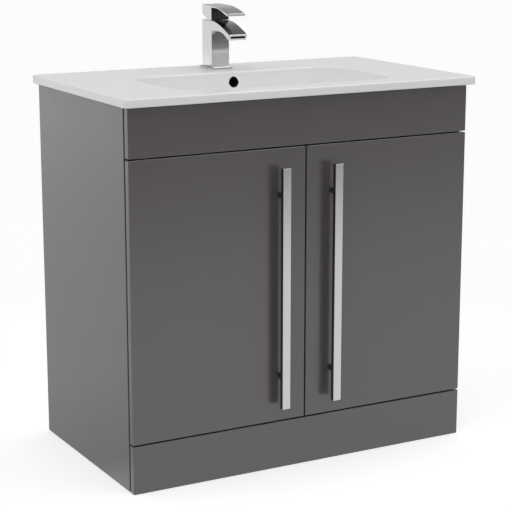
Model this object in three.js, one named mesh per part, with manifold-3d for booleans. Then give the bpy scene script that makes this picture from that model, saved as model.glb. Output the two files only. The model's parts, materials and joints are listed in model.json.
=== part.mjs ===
// Freestanding bathroom vanity unit: a two-door lacquered cabinet under a ceramic basin top with a lever tap.
// Millimetres, +Z up, the doors face -Y, and the finished frame is centred on the floor under the whole unit.
// Inside the file y = 0 is the front face of the doors, and the whole unit is moved to its frame at the end.
import * as THREE from 'three';
import { mergeVertices } from 'three/addons/utils/BufferGeometryUtils.js';
import Module from 'manifold-3d';

const wasm = await Module();
wasm.setup();

// ---- driving dimensions ----
const GAP = 0.3; // clearance between pieces that touch
const PAST = 5; // how far a cutting solid runs past the face that it opens
const WIDTH = 800; // over the end panels, the doors and the plinth
const HALF = WIDTH / 2;
const DEPTH = 464; // door face to the back edges of the end panels
const BOARD = 18; // end panel thickness
const THIN_BOARD = 16; // doors, fascia, plinth, base, shelf and rails
const REVEAL = 3; // gap between neighbouring front panels
const CARCASS_FRONT = 21.5; // front edges of the end panels
const PLINTH_TOP = 102;
const RAIL_BOTTOM = 700; // the two rails under the basin top
const DOOR_BOTTOM = PLINTH_TOP + REVEAL;
const DOOR_TOP = 685.7;
const FASCIA_BOTTOM = DOOR_TOP + REVEAL;
const FASCIA_TOP = 787;
const INNER = HALF - BOARD - GAP; // half the width of everything fitted between the end panels

const TOP_UNDERSIDE = 790; // the basin top
const TOP_SURFACE = 808;
const TOP_HALF = 413;
const TOP_FRONT = -17.2;
const TOP_BACK = 469;
const TOP_CORNER = 7;
const BOWL_X = 260; // half the width of the bowl's mouth
const BOWL_FRONT = 40;
const BOWL_BACK = 319;
const BOWL_FLOOR = 682;
const BOWL_WALL = 9;
const WASTE_Y = 182;
const WASTE_HOLE_R = 22.5;
const OVERFLOW_Z = 785;
const OVERFLOW_R = 12;
const TAP_HOLE_R = 17.5;

const HANDLE_X = 62; // bar centre to the middle of the unit
const HANDLE_WIDTH = 18.5;
const HANDLE_BACK = -20;
const HANDLE_FRONT = -30.4;
const HANDLE_LENGTH = 509.4;
const HANDLE_Z = 393;
const POST_Z = { lower: 204, upper: 588 };
const POST_R = 6;
const HANDLE_SCREW_R = 2;
const SCREW_CLEARANCE_R = 2.4;

const HINGE_HEIGHTS = { lower: 195, upper: 596 };
const CUP_X = 22.5; // cup centre to the door's outer edge
const CUP_HOLE_R = 17.5;
const CUP_FLOOR = 5; // cup's closed end, behind the door face
const LINK_PIVOT = { x: 22, y: 23.5 }; // from the door's outer edge and the door face
const LINK_LENGTH = 15;
const LINK_ANGLE = -92; // degrees from the +X axis, at rest
const LINK_HALF_THICKNESS = 1.6;
const LINK_HALF_HEIGHT = 5.5;

const SHELF_Z = 395; // underside
const SHELF_FRONT = 60;
const SHELF_BACK = 432;
const SHELF_PIN_R = 2.4;
const SHELF_HOLE_R = 2.75;
const SHELF_HOLE_DEPTH = 9;
const SHELF_HOLE_STEP = 64; // the shelf can also hang one step lower or higher
const SHELF_PIN_Y = [100, 390];
const BACK_PANEL_FRONT = 436;
const BACK_PANEL_THICKNESS = 8;
const BACK_PANEL_TOP = 640;

const TAP_HALF_WIDTH = 22;
const TAP_BODY_FRONT = 378;
const TAP_BODY_BACK = 424;
const TAP_Y = 401; // centre of the body, the tap hole and the shank
const TAP_PLATE_TOP = 812.5;
const TAP_BODY_TOP = 915;
const SPOUT_TIP = { top: [293.5, 889.5], bottom: [298, 877] }; // (y, z) of the spout's end face
const SPOUT_ROOT = 893.5; // underside of the spout where it leaves the body
const STEM_Y = 396; // swivel axis of the lever
const STEM_R = 5;
const LEVER_PIVOT_Z = 926;
const LEVER_BACK = 423;
const LEVER_TOP = 949;
const LEVER_TIP = { top: [303, 934.3], bottom: [303.5, 928.8] };
const BLADE_ROOT = 943.5; // underside of the lever's blade where it leaves the block

// ---- materials ----
const finish = (color, roughness, metalness) => new THREE.MeshStandardMaterial({ color, roughness, metalness });
const lacquer = finish(0x737173, 0.2, 0);
const carcassBoard = finish(0xd6d4d0, 0.6, 0);
const ceramic = finish(0xe8e9e8, 0.12, 0);
const chrome = finish(0xc9cbcd, 0.08, 1);
const satinMetal = finish(0xb4b5b7, 0.35, 1);
const postMetal = finish(0x5c5d5f, 0.4, 1);
const hingeSteel = finish(0xa9abad, 0.4, 1);
const zincSteel = finish(0x9ea2a4, 0.5, 1);
const rubber = finish(0x26272a, 0.9, 0);
const plastic = finish(0x8d8f90, 0.5, 0);

// ---- geometry helpers ----
const unit = new THREE.Group();

function weld(geometry) {
  geometry.deleteAttribute('normal');
  if (geometry.attributes.uv) geometry.deleteAttribute('uv');
  return mergeVertices(geometry, 1e-4);
}

function solid(geometry) {
  const welded = weld(geometry);
  return new wasm.Manifold(new wasm.Mesh({
    numProp: 3,
    vertProperties: new Float32Array(welded.attributes.position.array),
    triVerts: new Uint32Array(welded.index.array),
  }));
}

function geometryOf(manifold) {
  const { vertProperties, triVerts, numProp } = manifold.getMesh();
  const positions = new Float32Array((vertProperties.length / numProp) * 3);
  for (let i = 0; i < positions.length / 3; i += 1) {
    for (let k = 0; k < 3; k += 1) positions[3 * i + k] = vertProperties[numProp * i + k];
  }
  const geometry = new THREE.BufferGeometry();
  geometry.setAttribute('position', new THREE.BufferAttribute(positions, 3));
  geometry.setIndex(new THREE.BufferAttribute(new Uint32Array(triVerts), 1));
  return geometry;
}

function add(name, shape, material) {
  const geometry = shape.isBufferGeometry ? shape : geometryOf(shape);
  geometry.computeVertexNormals();
  const mesh = new THREE.Mesh(geometry, material);
  mesh.name = name;
  unit.add(mesh);
}

// A box between two opposite corners, given in either order.
function box(x0, x1, y0, y1, z0, z1) {
  const geometry = new THREE.BoxGeometry(Math.abs(x1 - x0), Math.abs(y1 - y0), Math.abs(z1 - z0));
  return geometry.translate((x0 + x1) / 2, (y0 + y1) / 2, (z0 + z1) / 2);
}

function cylinderZ(x, y, z0, z1, radius, sides = 24) {
  const geometry = new THREE.CylinderGeometry(radius, radius, z1 - z0, sides);
  return geometry.rotateX(Math.PI / 2).translate(x, y, (z0 + z1) / 2);
}

function cylinderY(x, z, y0, y1, radius, sides = 24) {
  return new THREE.CylinderGeometry(radius, radius, y1 - y0, sides).translate(x, (y0 + y1) / 2, z);
}

function cylinderX(y, z, x0, x1, radius, sides = 16) {
  const geometry = new THREE.CylinderGeometry(radius, radius, Math.abs(x1 - x0), sides);
  return geometry.rotateZ(Math.PI / 2).translate((x0 + x1) / 2, y, z);
}

function union(...geometries) {
  return geometries.map(solid).reduce((whole, piece) => whole.add(piece));
}

function cut(whole, ...tools) {
  return tools.reduce((left, tool) => left.subtract(solid(tool)), whole);
}

// A shape drawn in the (y, z) plane, extruded along x.
function extrudeX(shape, halfWidth) {
  const settings = { depth: 2 * halfWidth, bevelEnabled: false, curveSegments: 8 };
  const geometry = new THREE.ExtrudeGeometry(shape, settings);
  const basis = new THREE.Matrix4().makeBasis(
    new THREE.Vector3(0, 1, 0),
    new THREE.Vector3(0, 0, 1),
    new THREE.Vector3(1, 0, 0),
  );
  return geometry.applyMatrix4(basis).translate(-halfWidth, 0, 0);
}

function roundedRectangle(x0, x1, y0, y1, radius) {
  const shape = new THREE.Shape();
  shape.absarc(x1 - radius, y0 + radius, radius, -Math.PI / 2, 0);
  shape.absarc(x1 - radius, y1 - radius, radius, 0, Math.PI / 2);
  shape.absarc(x0 + radius, y1 - radius, radius, Math.PI / 2, Math.PI);
  shape.absarc(x0 + radius, y0 + radius, radius, Math.PI, Math.PI * 1.5);
  return shape;
}

function extrudeZ(shape, z0, z1, curveSegments = 6) {
  const geometry = new THREE.ExtrudeGeometry(shape, { depth: z1 - z0, bevelEnabled: false, curveSegments });
  return geometry.translate(0, 0, z0);
}

// One level of a lofted form: a rounded rectangle at height z, listed anticlockwise.
function level(z, halfX, front, back, radius, cornerSteps) {
  const points = [];
  const centres = [[halfX, front, -90], [halfX, back, 0], [-halfX, back, 90], [-halfX, front, 180]];
  for (const [x, y, start] of centres) {
    const cx = x - Math.sign(x) * radius;
    const cy = y === front ? y + radius : y - radius;
    for (let i = 0; i <= cornerSteps; i += 1) {
      const angle = THREE.MathUtils.degToRad(start + (90 * i) / cornerSteps);
      points.push([cx + radius * Math.cos(angle), cy + radius * Math.sin(angle), z]);
    }
  }
  return points;
}

// A closed form skinned over levels that are listed from the lowest to the highest.
function loft(levels) {
  const count = levels[0].length;
  const positions = levels.flat(2);
  const index = [];
  for (let k = 0; k < levels.length - 1; k += 1) {
    for (let i = 0; i < count; i += 1) {
      const a = k * count + i;
      const b = k * count + ((i + 1) % count);
      index.push(a, b, b + count, a, b + count, a + count);
    }
  }
  const last = (levels.length - 1) * count;
  for (let i = 1; i < count - 1; i += 1) {
    index.push(0, i + 1, i);
    index.push(last, last + i, last + i + 1);
  }
  const geometry = new THREE.BufferGeometry();
  geometry.setAttribute('position', new THREE.Float32BufferAttribute(positions, 3));
  geometry.setIndex(index);
  return geometry;
}

// ---- carcass ----
function endPanels() {
  for (const [name, side] of [['left', -1], ['right', 1]]) {
    const outer = side * HALF;
    const inner = side * (HALF - BOARD);
    const holeEnd = side * (HALF - BOARD + SHELF_HOLE_DEPTH);
    const board = solid(box(outer, inner, CARCASS_FRONT, DEPTH, 0, TOP_UNDERSIDE - GAP));
    const heights = [-1, 0, 1].map((step) => SHELF_Z - SHELF_HOLE_R + step * SHELF_HOLE_STEP);
    const holes = SHELF_PIN_Y.flatMap((y) => heights.map((z) => (
      cylinderX(y, z, inner - side * PAST, holeEnd, SHELF_HOLE_R, 12))));
    add(`${name}_end_panel`, cut(board, ...holes), lacquer);
  }
}

function carcassBoards() {
  const baseTop = PLINTH_TOP + THIN_BOARD;
  const panelBack = BACK_PANEL_FRONT + BACK_PANEL_THICKNESS;
  const railFront = THIN_BOARD + GAP;
  const railBack = railFront + THIN_BOARD;
  const railTop = TOP_UNDERSIDE - GAP;
  add('base_panel', box(-INNER, INNER, CARCASS_FRONT, panelBack, PLINTH_TOP, baseTop), carcassBoard);
  add('plinth_rail', box(-INNER, INNER, railFront, railBack, 0, PLINTH_TOP - GAP), carcassBoard);
  add('front_top_rail', box(-INNER, INNER, railFront, railBack, RAIL_BOTTOM, railTop), carcassBoard);
  const backRailBack = BACK_PANEL_FRONT + THIN_BOARD;
  add('back_top_rail', box(-INNER, INNER, BACK_PANEL_FRONT, backRailBack, RAIL_BOTTOM, railTop), carcassBoard);

  const cutOut = { x: 130, bottom: 150, top: 386, radius: 20 };
  const panel = solid(box(-INNER, INNER, BACK_PANEL_FRONT, panelBack, baseTop + GAP, BACK_PANEL_TOP));
  const outline = roundedRectangle(-cutOut.x, cutOut.x, cutOut.bottom, cutOut.top, cutOut.radius);
  const opening = extrudeZ(outline, -PAST, BACK_PANEL_THICKNESS + PAST);
  opening.rotateX(Math.PI / 2).translate(0, panelBack, 0);
  add('back_panel', cut(panel, opening), carcassBoard);
}

function shelf() {
  const notch = { x: 95, front: 300, radius: 25 };
  const ease = 1; // the shelf lifts out
  const board = solid(box(-INNER + ease, INNER - ease, SHELF_FRONT, SHELF_BACK, SHELF_Z, SHELF_Z + THIN_BOARD));
  const pipeSpace = extrudeZ(
    roundedRectangle(-notch.x, notch.x, notch.front, SHELF_BACK + 2 * notch.radius, notch.radius),
    SHELF_Z - PAST,
    SHELF_Z + THIN_BOARD + PAST,
  );
  add('shelf', cut(board, pipeSpace), carcassBoard);
  const collar = { thickness: 1.6, drop: 5 };
  const rest = { length: 9, thickness: 2, halfWidth: 4 };
  const overlap = 0.5;
  for (const [name, side] of [['left', -1], ['right', 1]]) {
    const wall = side * (HALF - BOARD);
    SHELF_PIN_Y.forEach((y, i) => {
      const axisZ = SHELF_Z - SHELF_HOLE_R;
      const inRoom = wall - side * (GAP + collar.thickness);
      const pin = cylinderX(y, axisZ, wall + side * (SHELF_HOLE_DEPTH - 1), inRoom, SHELF_PIN_R, 12);
      const underside = SHELF_Z - GAP;
      const block = box(wall - side * GAP, inRoom, y - rest.halfWidth, y + rest.halfWidth, axisZ - collar.drop,
        underside);
      const ledge = box(inRoom + side * overlap, inRoom - side * rest.length, y - rest.halfWidth,
        y + rest.halfWidth, underside - rest.thickness, underside);
      add(`${name}_${i ? 'back' : 'front'}_shelf_pin`, union(pin, block, ledge), zincSteel);
    });
  }
}

function frontPanels() {
  add('fascia_panel', box(-HALF, HALF, 0, THIN_BOARD, FASCIA_BOTTOM, FASCIA_TOP), lacquer);
  add('plinth_panel', box(-HALF, HALF, 0, THIN_BOARD, 0, PLINTH_TOP), lacquer);
}

function wallBrackets() {
  const leg = { front: 400, thickness: 2, reach: 42, bottom: 648, top: 694 };
  const hole = { fromWall: 24, radius: 3.5 };
  for (const [name, side] of [['left', -1], ['right', 1]]) {
    const wall = side * (HALF - BOARD - GAP);
    const inner = wall - side * leg.thickness;
    const sideLeg = box(wall, inner, leg.front, DEPTH, leg.bottom, leg.top);
    const backLeg = box(wall, wall - side * leg.reach, DEPTH - leg.thickness, DEPTH, leg.bottom, leg.top);
    const middle = (leg.bottom + leg.top) / 2;
    const holeX = wall - side * hole.fromWall;
    const screwHole = cylinderY(holeX, middle, DEPTH - PAST, DEPTH + PAST, hole.radius, 16);
    add(`${name}_wall_bracket`, cut(union(sideLeg, backLeg), screwHole), zincSteel);
  }
}

// ---- doors, handles and hinges ----
// Every hinge is drawn from the door's outer edge inwards; side is -1 on the left door and 1 on the right.
const fromEdge = (side, x) => side * (HALF - x);

function doors() {
  for (const [name, side] of [['left', -1], ['right', 1]]) {
    const slab = solid(box(side * HALF, (side * REVEAL) / 2, 0, THIN_BOARD, DOOR_BOTTOM, DOOR_TOP));
    const cups = Object.values(HINGE_HEIGHTS).map((z) => (
      cylinderY(fromEdge(side, CUP_X), z, CUP_FLOOR - GAP, THIN_BOARD + PAST, CUP_HOLE_R, 32)));
    const screws = Object.values(POST_Z).map((z) => (
      cylinderY(side * HANDLE_X, z, -PAST, THIN_BOARD + PAST, SCREW_CLEARANCE_R, 12)));
    add(`${name}_door`, cut(slab, ...cups, ...screws), lacquer);
  }
}

function handles() {
  const postFront = HANDLE_BACK + GAP;
  const tapped = -13; // depth of the tapped hole in a post
  const head = { radius: 4.2, height: 2.3 };
  for (const [name, side] of [['left', -1], ['right', 1]]) {
    const x = side * HANDLE_X;
    add(`${name}_handle_bar`, box(x - HANDLE_WIDTH / 2, x + HANDLE_WIDTH / 2, HANDLE_FRONT, HANDLE_BACK,
      HANDLE_Z - HANDLE_LENGTH / 2, HANDLE_Z + HANDLE_LENGTH / 2), satinMetal);
    for (const [end, z] of Object.entries(POST_Z)) {
      const post = cut(solid(cylinderY(x, z, postFront, -GAP, POST_R)),
        cylinderY(x, z, tapped, PAST, SCREW_CLEARANCE_R, 12));
      add(`${name}_${end}_handle_post`, post, postMetal);
      const seat = THIN_BOARD + GAP;
      const shank = cylinderY(x, z, tapped + 1, seat + head.height / 2, HANDLE_SCREW_R, 12);
      const screwHead = cylinderY(x, z, seat, seat + head.height, head.radius, 16);
      add(`${name}_${end}_handle_screw`, union(shank, screwHead), zincSteel);
    }
  }
}

function hinges() {
  const cup = { radius: 17.2, cavity: 15.7, floor: 1, flangeR: 19, flange: 1.4, earHalfX: 9, earHalfZ: 31 };
  const plate = { front: 34, back: 80, halfHeight: 8, thickness: 3.2 };
  const wing = { front: 52, back: 64, halfHeight: 26, thickness: 2.2 }; // the plate's two screw wings
  const arm = { x0: 21.8, x1: 31, front: 28, back: 80, halfHeight: 7.5 };
  const nose = { x0: 19, x1: 27.8, front: 20.8, back: 30, cheek: 1.5 }; // the two cheeks that hold the link
  for (const [name, side] of [['left', -1], ['right', 1]]) {
    for (const [height, z] of Object.entries(HINGE_HEIGHTS)) {
      const label = `${name}_${height}_hinge`;
      const x = fromEdge(side, CUP_X);
      const rim = THIN_BOARD + GAP;
      const bowl = cylinderY(x, z, CUP_FLOOR, rim + cup.flange, cup.radius, 32);
      const flange = cylinderY(x, z, rim, rim + cup.flange, cup.flangeR, 32);
      const ears = box(x - cup.earHalfX, x + cup.earHalfX, rim, rim + cup.flange, z - cup.earHalfZ,
        z + cup.earHalfZ);
      const cavity = cylinderY(x, z, CUP_FLOOR + cup.floor, rim + cup.flange + PAST, cup.cavity, 32);
      add(`${label}_cup`, cut(union(bowl, flange, ears), cavity), hingeSteel);

      const onWall = fromEdge(side, BOARD + GAP);
      const spine = box(onWall, onWall - side * plate.thickness, plate.front, plate.back, z - plate.halfHeight,
        z + plate.halfHeight);
      const wings = box(onWall, onWall - side * wing.thickness, wing.front, wing.back, z - wing.halfHeight,
        z + wing.halfHeight);
      add(`${label}_plate`, union(spine, wings), hingeSteel);

      const beam = box(fromEdge(side, arm.x0), fromEdge(side, arm.x1), arm.front, arm.back, z - arm.halfHeight,
        z + arm.halfHeight);
      const cheeks = [-1, 1].map((up) => box(fromEdge(side, nose.x0), fromEdge(side, nose.x1), nose.front,
        nose.back, z + up * (arm.halfHeight - nose.cheek), z + up * arm.halfHeight));
      add(`${label}_arm`, union(beam, ...cheeks), hingeSteel);

      const link = new THREE.Shape();
      link.absarc(0, 0, LINK_HALF_THICKNESS, Math.PI / 2, Math.PI * 1.5);
      link.absarc(LINK_LENGTH, 0, LINK_HALF_THICKNESS, -Math.PI / 2, Math.PI / 2);
      const bar = extrudeZ(link, z - LINK_HALF_HEIGHT, z + LINK_HALF_HEIGHT, 6);
      const angle = THREE.MathUtils.degToRad(side < 0 ? LINK_ANGLE : -180 - LINK_ANGLE);
      bar.rotateZ(angle).translate(fromEdge(side, LINK_PIVOT.x), LINK_PIVOT.y, 0);
      add(`${label}_link`, weld(bar), hingeSteel);
    }
  }
}

// ---- basin top ----
// The bowl's walls lean in a little, then turn into the floor along a quarter ellipse.
const BOWL_LEAN = { height: 56, side: 9, front: 10, back: 7 };
const BOWL_TURN = { height: TOP_SURFACE - BOWL_LEAN.height - BOWL_FLOOR, side: 88, front: 82, back: 77 };
const BOWL_CORNER = { mouth: 72, floor: 34 };

// One level of the bowl, grown outwards by the wall where it is the outer shell.
function bowlLevel({ z, lean, turn }, grow) {
  const inset = (edge) => BOWL_LEAN[edge] * lean + BOWL_TURN[edge] * turn;
  const radius = BOWL_CORNER.mouth + (BOWL_CORNER.floor - BOWL_CORNER.mouth) * turn;
  return level(z - grow, BOWL_X - inset('side') + grow, BOWL_FRONT + inset('front') - grow,
    BOWL_BACK - inset('back') + grow, radius + grow, 7);
}

const turnLevels = [90, 70, 52, 34, 17, 0].map((degrees) => {
  const angle = THREE.MathUtils.degToRad(degrees);
  return { z: BOWL_FLOOR + BOWL_TURN.height * (1 - Math.sin(angle)), lean: 1, turn: 1 - Math.cos(angle) };
});
const bowlWalls = [...turnLevels, { z: TOP_SURFACE - 16, lean: 0.35, turn: 0 }];

function basin() {
  const edge = (z, inset) => (
    level(z, TOP_HALF - inset, TOP_FRONT + inset, TOP_BACK - inset, TOP_CORNER - inset, 4));
  const chamfer = { under: 2, upper: 4 };
  const slab = loft([
    edge(TOP_UNDERSIDE, chamfer.under),
    edge(TOP_UNDERSIDE + chamfer.under, 0),
    edge(TOP_SURFACE - chamfer.upper, 0),
    edge(TOP_SURFACE - 0.3 * chamfer.upper, 0.3 * chamfer.upper),
    edge(TOP_SURFACE, chamfer.upper),
  ]);
  const shell = [...bowlWalls, { z: TOP_SURFACE, lean: 0.35, turn: 0 }];
  const inside = [
    ...bowlWalls,
    { z: TOP_SURFACE - chamfer.upper, lean: 0.12, turn: 0 },
    { z: TOP_SURFACE + 1, lean: -0.22, turn: 0 },
  ];
  const boss = { radius: 38, bottom: 640, top: BOWL_FLOOR - 4 };
  const duct = { half: 22, front: BOWL_BACK - 3, back: 350, bottom: 645, top: TOP_UNDERSIDE + 4 };
  const channel = { half: 13, front: 332, back: 342, bottom: 655, top: TOP_UNDERSIDE + 2, height: 10 };
  const outside = union(
    slab,
    loft(shell.map((entry) => bowlLevel(entry, BOWL_WALL))),
    box(-duct.half, duct.half, duct.front, duct.back, duct.bottom, duct.top),
    box(-duct.half, duct.half, WASTE_Y, duct.back, duct.bottom, boss.top),
    cylinderZ(0, WASTE_Y, boss.bottom, boss.top, boss.radius, 32),
  );
  add('basin', cut(
    outside,
    loft(inside.map((entry) => bowlLevel(entry, 0))),
    cylinderZ(0, WASTE_Y, boss.bottom - PAST, BOWL_FLOOR + PAST, WASTE_HOLE_R, 32),
    cylinderZ(0, TAP_Y, TOP_UNDERSIDE - PAST, TOP_SURFACE + PAST, TAP_HOLE_R, 32),
    cylinderY(0, OVERFLOW_Z, BOWL_BACK - 4 * PAST, channel.back, OVERFLOW_R, 28),
    box(-channel.half, channel.half, channel.front, channel.back, channel.bottom, channel.top),
    box(-channel.half, channel.half, WASTE_Y, channel.back, channel.bottom, channel.bottom + channel.height),
  ), ceramic);
}

// A washer or nut round a vertical axis; six sides make a nut.
function ring(y, z0, z1, inner, outer, sides) {
  return cut(solid(cylinderZ(0, y, z0, z1, outer, sides)), cylinderZ(0, y, z0 - PAST, z1 + PAST, inner, 32));
}

function waste() {
  const body = { bottom: 600, radius: 21.5, bore: 17.5, flangeR: 33, flange: 2 };
  const bridge = { half: 18.5, halfWidth: 6, bottom: 666, top: 674 }; // crossbar that guides the plug's stem
  const slot = { half: 6, bottom: 652, top: 665 }; // lets the overflow's water in
  const seat = BOWL_FLOOR + GAP;
  const flangeTop = seat + body.flange;
  const stemR = 4.5;
  const tube = cut(
    union(
      cylinderZ(0, WASTE_Y, body.bottom, seat + body.flange / 2, body.radius, 32),
      cylinderZ(0, WASTE_Y, seat, flangeTop, body.flangeR, 40),
    ),
    cylinderZ(0, WASTE_Y, body.bottom - PAST, flangeTop + PAST, body.bore, 32),
    box(-slot.half, slot.half, WASTE_Y, WASTE_Y + 2 * body.radius, slot.bottom, slot.top),
  );
  const bar = box(-bridge.half, bridge.half, WASTE_Y - bridge.halfWidth, WASTE_Y + bridge.halfWidth,
    bridge.bottom, bridge.top);
  const guide = cylinderZ(0, WASTE_Y, bridge.bottom - PAST, bridge.top + PAST, stemR + GAP, 20);
  add('waste_body', cut(tube.add(solid(bar)), guide), chrome);

  const cap = { radius: 30, underside: flangeTop + GAP, height: 5.5, stemBottom: 650 };
  const profile = [
    [0, cap.stemBottom],
    [stemR, cap.stemBottom],
    [stemR, cap.underside],
    [cap.radius - 1, cap.underside],
    [cap.radius, cap.underside + 1.7],
    [cap.radius - 2.5, cap.underside + 3.7],
    [0.6 * cap.radius, cap.underside + 4.9],
    [0, cap.underside + cap.height],
  ];
  const plug = new THREE.LatheGeometry(profile.map(([r, z]) => new THREE.Vector2(r, z)), 36);
  add('waste_plug', solid(plug.rotateX(Math.PI / 2).translate(0, WASTE_Y, 0)), chrome);

  const sealTop = 640 - GAP;
  const seal = { radius: 34, height: 3 };
  const nut = { radius: 33, height: 12.7 };
  const inner = body.radius + GAP + 0.2;
  const nutTop = sealTop - seal.height - GAP;
  add('waste_seal', ring(WASTE_Y, sealTop - seal.height, sealTop, inner, seal.radius, 32), rubber);
  add('waste_nut', ring(WASTE_Y, nutTop - nut.height, nutTop, inner, nut.radius, 6), chrome);
}

// ---- tap ----
function tapBody() {
  const plate = { half: 25, front: 367.5, back: 434.5, radius: 2.5 };
  const outline = roundedRectangle(-plate.half, plate.half, plate.front, plate.back, plate.radius);
  add('tap_base_plate', extrudeZ(outline, TOP_SURFACE + GAP, TAP_PLATE_TOP, 4), chrome);

  const bottom = TAP_PLATE_TOP + GAP;
  const arch = 345; // where the spout's level underside starts to turn down
  const profile = new THREE.Shape();
  profile.moveTo(TAP_BODY_BACK, bottom);
  profile.lineTo(TAP_BODY_BACK, TAP_BODY_TOP);
  profile.lineTo(TAP_BODY_FRONT, TAP_BODY_TOP);
  profile.bezierCurveTo(352, TAP_BODY_TOP, 322, 902, ...SPOUT_TIP.top);
  profile.lineTo(...SPOUT_TIP.bottom);
  profile.bezierCurveTo(312, 883, 322, SPOUT_ROOT, arch, SPOUT_ROOT);
  profile.lineTo(TAP_BODY_FRONT, SPOUT_ROOT);
  profile.lineTo(TAP_BODY_FRONT, bottom);
  const cartridge = { radius: 11.5, bottom: 892, top: TAP_BODY_TOP - 0.4 };
  const wellR = cartridge.radius + GAP + 0.1;
  const well = cylinderZ(0, STEM_Y, cartridge.bottom - GAP, TAP_BODY_TOP + PAST, wellR, 28);
  const mouth = { half: 18, bottom: 881.3, top: 886, end: 304 }; // the slot that the water leaves by
  const slot = box(-mouth.half, mouth.half, SPOUT_TIP.top[0] - PAST, mouth.end, mouth.bottom, mouth.top);
  add('tap_body', cut(solid(extrudeX(profile, TAP_HALF_WIDTH)), well, slot), chrome);
  add('tap_cartridge', cylinderZ(0, STEM_Y, cartridge.bottom, cartridge.top, cartridge.radius, 28), plastic);
  add('tap_stem', cylinderZ(0, STEM_Y, TAP_BODY_TOP, LEVER_PIVOT_Z + 4, STEM_R, 20), hingeSteel);
}

function tapLever() {
  const front = TAP_BODY_FRONT + 1;
  const underside = TAP_BODY_TOP + 0.8;
  const profile = new THREE.Shape();
  profile.moveTo(LEVER_BACK, LEVER_TOP);
  profile.lineTo(front, LEVER_TOP - 0.7);
  profile.bezierCurveTo(353, LEVER_TOP - 1.2, 331, 941.5, ...LEVER_TIP.top);
  profile.lineTo(...LEVER_TIP.bottom);
  profile.bezierCurveTo(324, 934.5, 340, BLADE_ROOT, 362, BLADE_ROOT);
  profile.lineTo(front, BLADE_ROOT);
  profile.lineTo(front, underside);
  profile.lineTo(STEM_Y + 1, underside);
  profile.lineTo(LEVER_BACK, LEVER_PIVOT_Z + 1.5);
  const half = { x: 8, y: 10 }; // the pocket that the stem stands in
  const pocket = box(-half.x, half.x, STEM_Y - half.y, STEM_Y + half.y, underside - PAST, LEVER_PIVOT_Z + 10);
  add('tap_lever', cut(solid(extrudeX(profile, TAP_HALF_WIDTH)), pocket), chrome);
}

function tapFixings() {
  const shank = { radius: 14, bore: 10, bottom: 740 };
  const washer = { radius: 26, height: 3 };
  const nut = { radius: 22, height: 11.7 };
  const inner = shank.radius + GAP + 0.2;
  const washerTop = TOP_UNDERSIDE - GAP;
  const nutTop = washerTop - washer.height - GAP;
  add('tap_shank', ring(TAP_Y, shank.bottom, TOP_SURFACE, shank.bore, shank.radius, 24), zincSteel);
  add('tap_washer', ring(TAP_Y, washerTop - washer.height, washerTop, inner, washer.radius, 28), rubber);
  add('tap_nut', ring(TAP_Y, nutTop - nut.height, nutTop, inner, nut.radius, 6), zincSteel);
}

endPanels();
carcassBoards();
shelf();
frontPanels();
wallBrackets();
doors();
handles();
hinges();
basin();
waste();
tapBody();
tapLever();
tapFixings();

// The frame's origin is on the floor, halfway between the handles' front and the back of the basin top.
unit.position.y = -(HANDLE_FRONT + TOP_BACK) / 2;

export default unit;
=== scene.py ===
"""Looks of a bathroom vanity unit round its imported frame: fine meshes, materials, studio and camera.

Lengths are in metres. Shapes that repeat the frame's own drawing use millimetres through MM and at().
"""

import json
import math

import bmesh
import bpy
from mathutils import Matrix, Vector

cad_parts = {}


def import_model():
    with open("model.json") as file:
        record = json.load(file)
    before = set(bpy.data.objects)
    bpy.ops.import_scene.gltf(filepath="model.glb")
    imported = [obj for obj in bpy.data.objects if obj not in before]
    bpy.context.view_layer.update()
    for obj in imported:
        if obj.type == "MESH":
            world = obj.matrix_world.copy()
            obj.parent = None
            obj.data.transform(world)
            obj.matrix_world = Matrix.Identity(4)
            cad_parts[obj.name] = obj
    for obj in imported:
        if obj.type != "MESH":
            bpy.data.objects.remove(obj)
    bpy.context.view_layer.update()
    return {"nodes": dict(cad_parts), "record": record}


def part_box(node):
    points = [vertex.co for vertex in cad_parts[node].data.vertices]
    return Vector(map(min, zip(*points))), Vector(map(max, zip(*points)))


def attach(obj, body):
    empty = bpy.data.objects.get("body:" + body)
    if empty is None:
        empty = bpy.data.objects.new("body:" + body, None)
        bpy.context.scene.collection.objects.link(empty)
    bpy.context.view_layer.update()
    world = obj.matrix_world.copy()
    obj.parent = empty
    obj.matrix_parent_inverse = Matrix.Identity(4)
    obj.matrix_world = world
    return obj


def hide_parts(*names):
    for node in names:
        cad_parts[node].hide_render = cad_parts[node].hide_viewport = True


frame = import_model()

MM = 0.001
NODES = frame["nodes"]
BODIES = frame["record"]["behaviour"]["bodies"]
BODY_OF = {node: body for body, members in BODIES.items() for node in members}
SLOT_OF = {part["node"]: part["material_slot"] for part in frame["record"]["subparts"]}
FACE_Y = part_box("left_door")[0].y  # front plane of the doors


def at(x, y, z):
    """A point given in millimetres from the middle of the unit, the door faces and the floor."""
    return Vector((x * MM, FACE_Y + y * MM, z * MM))


# ---------------------------------------------------------------- materials
NOISE_LOW, NOISE_HIGH = 0.3, 0.7  # where a noise mostly stays


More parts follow.
